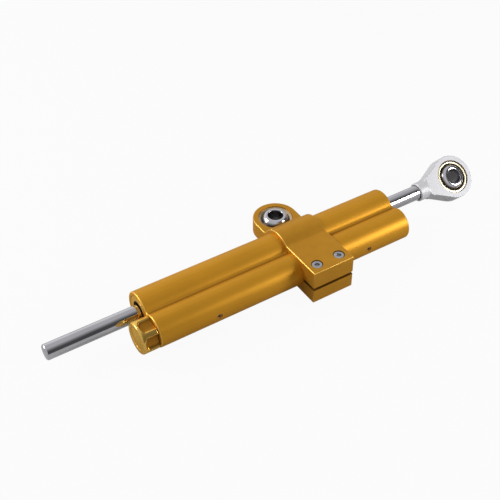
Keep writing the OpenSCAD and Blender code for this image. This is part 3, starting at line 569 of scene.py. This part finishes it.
lip_low = math.degrees(math.asin(-slot_floor / bore_r))
lip_high = math.degrees(math.asin(slot_top / bore_r))
v = swing(clamp, v, (-clamp_x, side_y, 0), across, 180 - side_open - lip_low, 30)
v = swing(clamp, v, (-clamp_x, main_y - waist_reach, -waist_z), across, hollow, 8)
v = swing(clamp, v, (-clamp_x, main_y, 0), across, 360 - 2 * main_open, 64)
v = swing(clamp, v, (-clamp_x, main_y - waist_reach, waist_z), across, hollow, 8)
v = swing(clamp, v, (-clamp_x, side_y, 0), across, 180 - side_open - lip_high, 30)
clamp.edges.new((v, start))
section = bmesh.ops.contextual_create(clamp, geom=list(clamp.edges))["faces"]
far = bmesh.ops.extrude_face_region(clamp, geom=section, use_keep_orig=True)["geom"]
bmesh.ops.translate(clamp, vec=(2 * clamp_x, 0, 0), verts=[g for g in far if isinstance(g, bmesh.types.BMVert)])


def flat_faces(bm, normal, depth):
    """The faces that lie in one plane."""
    bmesh.ops.recalc_face_normals(bm, faces=bm.faces)
    return [f for f in bm.faces if f.normal.dot(normal) > 0.999
            and abs(f.calc_center_median().dot(normal) - depth) < 0.002 * mm]


def bore_out(bm, face, circles):
    """Takes a flat face away and fills its place again round circles."""
    rim = list(face.edges)
    bmesh.ops.delete(bm, geom=[face], context="FACES_ONLY")
    bmesh.ops.triangle_fill(bm, use_beauty=True, edges=rim + circles)


up, ahead = Vector((0, 0, 1)), Vector((0, 1, 0))
bmesh.ops.delete(clamp, geom=flat_faces(clamp, ahead, 0.0), context="FACES_ONLY")
nose = [e for e in clamp.edges if e.is_boundary and all(abs(v.co.x - clamp_x) < near for v in e.verts)]
bmesh.ops.spin(clamp, geom=nose + list(nose[0].verts), cent=(0, 0, 0), axis=(0, 0, 1), angle=math.pi, steps=48)
bmesh.ops.remove_doubles(clamp, verts=clamp.verts, dist=weld)
plates = [f for side in (up, -up) for f in flat_faces(clamp, side, plate_h)]
bmesh.ops.delete(clamp, geom=plates, context="FACES")
for side in (1, -1):
    bmesh.ops.contextual_create(clamp, geom=[e for e in clamp.edges if e.is_boundary and
                                             all(abs(v.co.z - side * plate_h) < near for v in e.verts)])


def in_slot(verts):
    """Whether these all lie on the walls of the slot."""
    return all(slot_floor - near < v.co.z < slot_top + near and v.co.y < side_y for v in verts)


def crisp(e):
    """Whether an edge stays sharp: round the barrels or in the slot."""
    return in_slot(e.verts) or any((v.co.yz - Vector((main_y, 0))).length < main_r + 0.2 * mm
                                   or (v.co.yz - Vector((side_y, 0))).length < bore_r + 0.1 * mm for v in e.verts)


soften(clamp, 0.55 * mm, 4, 40, crisp)
eye_rims = [ring(clamp, eye_seat, Matrix.Translation((0, 0, side * plate_h)), 80) for side in (1, -1)]
for side, rim in zip((up, -up), eye_rims):
    bore_out(clamp, flat_faces(clamp, side, plate_h)[0], rim)
skin(clamp, eye_rims)
screws_at = [Vector((s * screw_x, screw_y, half_h)) for s in (-1, 1)]
wells = [ring(clamp, well_r, Matrix.Translation(at), 48) for at in screws_at]
bore_out(clamp, flat_faces(clamp, up, half_h)[0], sum(wells, []))
for well in wells:
    sink(clamp, well, (0, 0, -well_deep))
join_flats(clamp)
# The slot's walls and the counterbores take a dark gold, which paints their shade.
for f in clamp.faces:
    sunk = any(all((v.co.xy - at.xy).length < well_r + 0.05 * mm for v in f.verts) for at in screws_at)
    f.material_index = int(sunk or in_slot(f.verts))
slot_shade_gold = anodised("slot_shade_gold", (0.16, 0.065, 0.006), mill_marks, 0.5, 0.3)
piece("pinch_clamp", clamp, "clamp", "gold", [gold_milled, slot_shade_gold], "clamp_block")

# Clamp screws: two stainless socket-head screws, sunk in counterbores in the clamp's top.
# They run through the upper jaw into a thread in the lower one and pull the slot shut.
clamp_screws, head_sunk = new_mesh(), 0.25 * mm
screw_steps = [(r * mm, d * mm) for r, d in ((2.35, 0), (2.6, 0.08), (2.75, 0.3), (2.75, 2.9), (1.5, 3), (1.5, 17))]
for at in screws_at:
    socket_screw(clamp_screws, 2.5 * mm, 1.5 * mm, screw_steps, Matrix.Translation(at - up * head_sunk))
piece("pinch_screws", clamp_screws, "clamp", "screw_steel", [screw_steel], "clamp_screws")

# Spherical bearings: a chromed steel ball with a bolt hole, in a race that is pressed into each eye.
# The clamp's race is steel; the rod end's is bronze, with a narrow gap between race and ball that is painted dark as
# shade.
ball_r, ball_half, bolt_r, race_r, race_half = 8 * mm, 5.8 * mm, 4 * mm, 9 * mm, 4 * mm
shade_end, shade_fade = 5.1 * mm, 0.9 * mm
ball_chrome = Finish("ball_chrome", Metallic=1.0)
ball_haze = ball_chrome.place.noise(260.0, 3.0)
ball_clean = ball_haze.between(0.3, 0.7).blend((0.66, 0.65, 0.68, 1.0), (0.76, 0.75, 0.78, 1.0))
# Painted shade: the marked parts of the ball go most of the way to a near-black brown.
ball_chrome.feed("Base Color", (ball_chrome.wear_and_shade * 0.9).blend(ball_clean, (0.05, 0.035, 0.025, 1.0)))
ball_chrome.feed("Roughness", 0.05 + ball_haze * 0.06 + ball_chrome.wear_and_shade * 0.2)
ball_chrome.rough_up(ball_chrome.place.noise(1500.0, 2.0), 0.0004 * mm)
race_steel = turned("race_steel", (0.62, 0.50, 0.33), 0.24, 0.1, fine_marks)
race_bronze = turned("race_bronze", (0.92, 0.80, 0.54), 0.26, 0.08, fine_marks)
# A near-black that paints the shade in the gap between race and ball.
groove_shade = moulded("groove_shade", (0.022, 0.014, 0.009), 0.35)
# A dark steel for the ball's bore, which paints the shade inside the hole.
bore_shade_steel = turned("bore_shade_steel", (0.20, 0.19, 0.20), 0.2, 0.1, fine_marks)


def bearing_ball(place):
    """A ball with flat ends and a bolt hole, with painted shade where it goes into the race and at its bore's edge, and
    its bore in a dark second finish that paints its shade.
    """
    bm = new_mesh()
    flat_r = math.sqrt(ball_r ** 2 - ball_half ** 2)
    reach = math.degrees(math.asin(ball_half / ball_r))
    v = trace(bm, [(bolt_r, 0), (bolt_r, -ball_half), (flat_r, -ball_half)])
    v = swing(bm, v, (0, 0, 0), (0, -1, 0), 2 * reach, 28)
    v = line(bm, v, (bolt_r, 0, ball_half))
    line(bm, v, (bolt_r, 0, 0))
    revolve(bm, Matrix())
    soften(bm, 0.4 * mm, 4, 24)
    shaded = bm.verts.layers.float["wear_and_shade"]
    # Painted shade: dark where the ball goes into the race, clean by 5.1 mm from its middle; the bore's rounded edge is
    # darkened a little to dim its glint.
    for v in bm.verts:
        if v.co.xy.length > flat_r:
            v[shaded] = min(1.0, max(0.0, (shade_end - abs(v.co.z)) / shade_fade))
        else:
            v[shaded] = 0.55 * float(v.co.xy.length < bolt_r + 0.38 * mm)
    for f in bm.faces:
        f.material_index = int(all(v.co.xy.length < bolt_r + 0.1 * mm for v in f.verts))
    bmesh.ops.transform(bm, matrix=place, verts=bm.verts)
    return bm


def bearing_race(place, mouth):
    """A race round the ball that opens to its mouth, with the gap and the seat in the second finish, painted near black
    as shade.
    """
    bm = new_mesh()
    seat_r, throat = ball_r + 0.03 * mm, 24.5
    v = trace(bm, [(race_r, 0), (race_r, -race_half), (mouth, -race_half)])
    v = line(bm, v, (seat_r * math.cos(math.radians(throat)), 0, -seat_r * math.sin(math.radians(throat))))
    v = swing(bm, v, (0, 0, 0), (0, -1, 0), 2 * throat, 20)
    v = line(bm, v, (mouth, 0, race_half))
    v = line(bm, v, (race_r, 0, race_half))
    line(bm, v, (race_r, 0, 0))
    revolve(bm, Matrix())
    soften(bm, 0.15 * mm, 2, 34)
    # The mouth and seat are painted near black as the shade of the gap round the ball.
    for f in bm.faces:
        f.material_index = int(all(v.co.xy.length < mouth for v in f.verts))
    bmesh.ops.transform(bm, matrix=place, verts=bm.verts)
    return bm


eye_x, eye_roll = 103.7 * mm, math.radians(40)
eye_place = Matrix.Translation((eye_x, main_y, 0)) @ Matrix.Rotation(eye_roll, 4, "X")
ball_finishes = [ball_chrome.material, bore_shade_steel]
piece("clamp_eye_race", bearing_race(Matrix(), 8.5 * mm), "clamp_race", "race_steel", [race_steel, groove_shade],
      "clamp_race")
piece("clamp_eye_ball", bearing_ball(Matrix()), "clamp_ball", "bearing_chrome", ball_finishes, "clamp_ball")
piece("rod_eye_race", bearing_race(eye_place, 8.05 * mm), "rod_end_race", "liner_bronze", [race_bronze, groove_shade],
      "rod_end_race")
piece("rod_eye_ball", bearing_ball(eye_place), "rod_end_ball", "bearing_chrome", ball_finishes, "rod_end_ball")

# Rod end: a forged aluminium eye on a round neck, satin silver anodised, screwed onto the rod's stud.
# Flats run from the neck over the eye, the flanks leave the neck in a hollow, and a collar takes the rod's end.
silver = Finish("satin_silver", Metallic=0.25)
silver_grain = silver.place.noise(4200.0, 2.0)
silver_cloud = silver.place.noise(70.0, 3.0)
silver.feed("Base Color", (silver_cloud * 0.7 + silver_grain * 0.3).between(0.3, 0.7)
            .blend((0.60, 0.60, 0.62, 1.0), (0.66, 0.66, 0.68, 1.0)))
silver.feed("Roughness", 0.48 + silver_grain * 0.1 - silver.wear_and_shade * 0.1)
silver.rough_up(silver_grain, 0.0015 * mm)
eye_r, eye_half, neck_r, flank_r = 12.2 * mm, 4.5 * mm, 5.2 * mm, 12 * mm
head_x, edge_wide, edge_deep = -16.6 * mm, 0.42 * mm, 0.4 * mm
flank = Vector((-16.2 * mm, neck_r))
touch_len = math.sqrt(flank.length_squared - eye_r ** 2)
touch = Vector((eye_r * (eye_r * flank.x + touch_len * flank.y), eye_r * (eye_r * flank.y - touch_len * flank.x))) \
    / flank.length_squared
slope = math.atan2(touch.y - flank.y, touch.x - flank.x)
hollow_x, hollow_y = flank.x - flank_r * math.tan(slope / 2), neck_r + flank_r
head_y = hollow_y - math.sqrt(flank_r ** 2 - (head_x - hollow_x) ** 2)
flank_turn = math.degrees(slope - math.asin((head_x - hollow_x) / flank_r))
eye_turn = 2 * math.degrees(math.atan2(touch.y, touch.x))
rod_end = new_mesh()
flat_z = -eye_half
start = v = rod_end.verts.new((head_x, -head_y, flat_z))
v = swing(rod_end, v, (hollow_x, -hollow_y, flat_z), (0, 0, 1), -flank_turn, 6)
v = line(rod_end, v, (touch.x, -touch.y, flat_z))
v = swing(rod_end, v, (0, 0, flat_z), (0, 0, 1), eye_turn, 64)
v = line(rod_end, v, (hollow_x + flank_r * math.sin(slope), hollow_y - flank_r * math.cos(slope), flat_z))
v = swing(rod_end, v, (hollow_x, hollow_y, flat_z), (0, 0, 1), -flank_turn, 6)
rod_end.edges.new((v, start))
raised = bmesh.ops.extrude_edge_only(rod_end, edges=list(rod_end.edges))["geom"]
bmesh.ops.translate(rod_end, vec=(0, 0, 2 * eye_half), verts=[g for g in raised if isinstance(g, bmesh.types.BMVert)])
throat = [f for f in rod_end.faces if abs(f.calc_center_median().x - head_x) < near]
mouth = [e for f in throat for e in f.edges]
bmesh.ops.delete(rod_end, geom=throat, context="FACES_ONLY")
bmesh.ops.subdivide_edges(rod_end, edges=mouth, cuts=11)
for side in (-1, 1):
    bmesh.ops.contextual_create(rod_end, geom=[e for e in rod_end.edges
                                               if all(abs(v.co.z - side * eye_half) < near for v in e.verts)])
mouth = [e for e in rod_end.edges if e.is_boundary]
neck = [ring(rod_end, r * mm, along_x(x * mm), 48) for r, x in
        ((5.2, -17.9), (5.2, -18.6), (5.2, -23.3), (4.85, -23.7), (4.5, -23.58), (4.4, -23.4), (4.4, -22.5),
         (3.02, -22.4))]
bmesh.ops.bridge_loops(rod_end, edges=mouth + neck[0])
skin(rod_end, neck)
bmesh.ops.contextual_create(rod_end, geom=neck[-1])
soften(rod_end, 0.45 * mm, 3, 45)
bore = [ring(rod_end, eye_seat + wide, Matrix.Translation((0, 0, z)), 80) for wide, z in
        ((edge_wide, eye_half), (0, eye_half - edge_deep), (0, edge_deep - eye_half), (edge_wide, -eye_half))]
for side, rim in ((up, bore[0]), (-up, bore[-1])):
    bore_out(rod_end, flat_faces(rod_end, side, eye_half)[0], rim)
skin(rod_end, bore)
join_flats(rod_end)
# The eye's bore chamfers and wall are painted dark brown as the shade of the gap round the race.
for f in rod_end.faces:
    f.material_index = int(all(v.co.xy.length < eye_seat + edge_wide + 0.05 * mm for v in f.verts))
bmesh.ops.transform(rod_end, matrix=eye_place, verts=rod_end.verts)
piece("rod_end_eye", rod_end, "rod", "rod_end_silver", [silver.material, brown_shade], "rod_end_housing", smooth=40)

# Studio: a plain white floor that the damper lies on, which shows white to the camera and keeps a faint shadow.
# A pale room with a darker front, two soft boxes, and the camera where the photographer stood.
floor_z = -12.45 * mm
floor_mesh = bpy.data.meshes.new("floor")
sheet = bmesh.new()
bmesh.ops.create_grid(sheet, x_segments=1, y_segments=1, size=6.0, matrix=Matrix.Translation((0, 0, floor_z)))
sheet.to_mesh(floor_mesh)
sheet.free()
paper = bpy.data.materials.new("white_paper")
paper.use_nodes = True
tree = paper.node_tree
tree.nodes.clear()
seen = Wire(tree).node("LightPath", {}, {}, "Is Camera Ray")
path = seen.socket.node
shine = Wire(tree, path.outputs["Is Glossy Ray"])
through = Wire(tree, path.outputs["Is Transmission Ray"])
lit = seen.node("BsdfDiffuse", {}, {"Color": (0.45, 0.45, 0.45, 1.0)})
white = seen.node("Emission", {}, {"Color": (1.0, 1.0, 1.0, 1.0), "Strength": 1.0})
mixed = seen.node("MixShader", {}, {0: seen * 0.94 + (shine + through) * 0.08, 1: lit, 2: white})
tree.links.new(mixed.socket, tree.nodes.new("ShaderNodeOutputMaterial").inputs["Surface"])
floor_mesh.materials.append(paper)
floor = bpy.data.objects.new("floor", floor_mesh)
bpy.context.scene.collection.objects.link(floor)

world = bpy.data.worlds.new("studio")
bpy.context.scene.world = world
world.use_nodes = True
sky = world.node_tree.nodes["Background"]
towards = Wire(world.node_tree).node("TexCoord", {}, {}, "Generated")
side, back, height = [towards.node("SeparateXYZ", {}, {0: towards}, axis) for axis in ("X", "Y", "Z")]
lean = (back - side * 1.1).between(-0.95, -0.3)
room = 0.08 + lean * 0.47 + back.between(0.6, 1.0) * 0.42
rim_light = (1 - height.between(0.0, 0.06)) * (1 - lean) * 0.6
glow = (room + rim_light).blend((0.0, 0.0, 0.0, 1.0), (1.0, 1.0, 1.02, 1.0))
world.node_tree.links.new(glow.socket, sky.inputs["Color"])


def soft_box(name, at, aim, width, height, brightness):
    """A rectangular lamp that looks that bright from the front."""
    lamp = bpy.data.lights.new(name, "AREA")
    lamp.shape, lamp.size, lamp.size_y = "RECTANGLE", width, height
    lamp.energy = brightness * math.pi * width * height
    box = bpy.data.objects.new(name, lamp)
    bpy.context.scene.collection.objects.link(box)
    box.location = at
    box.rotation_mode = "QUATERNION"
    box.rotation_quaternion = (Vector(aim) - Vector(at)).to_track_quat("-Z", "Y")


soft_box("key_box", (0.385, -0.395, 0.226), (0.045, -0.03, 0), 0.2, 0.22, 15.0)
soft_box("left_box", (-0.48, 0.36, 0.31), (-0.06, -0.02, 0), 0.32, 0.32, 10.0)

camera = bpy.data.objects.new("camera", bpy.data.cameras.new("camera"))
bpy.context.scene.collection.objects.link(camera)
bpy.context.scene.camera = camera
turn, tilt, roll = math.radians(32.01), math.radians(41.33), math.radians(-0.54)
look = Vector((math.cos(tilt) * math.sin(turn), math.cos(tilt) * math.cos(turn), -math.sin(tilt)))
right = Vector((math.cos(turn), -math.sin(turn), 0))
above = right.cross(look)
right, above = right * math.cos(roll) + above * math.sin(roll), above * math.cos(roll) - right * math.sin(roll)
camera.matrix_world = Matrix.Translation(Vector((-213.9, -316.44, 317.0)) * mm) @ \
    Matrix((right, above, -look)).transposed().to_4x4()
camera.data.sensor_width, camera.data.lens = 36.0, 67.05
camera.data.clip_start, camera.data.clip_end = 0.01, 20.0

bpy.context.scene.view_settings.view_transform = "Standard"
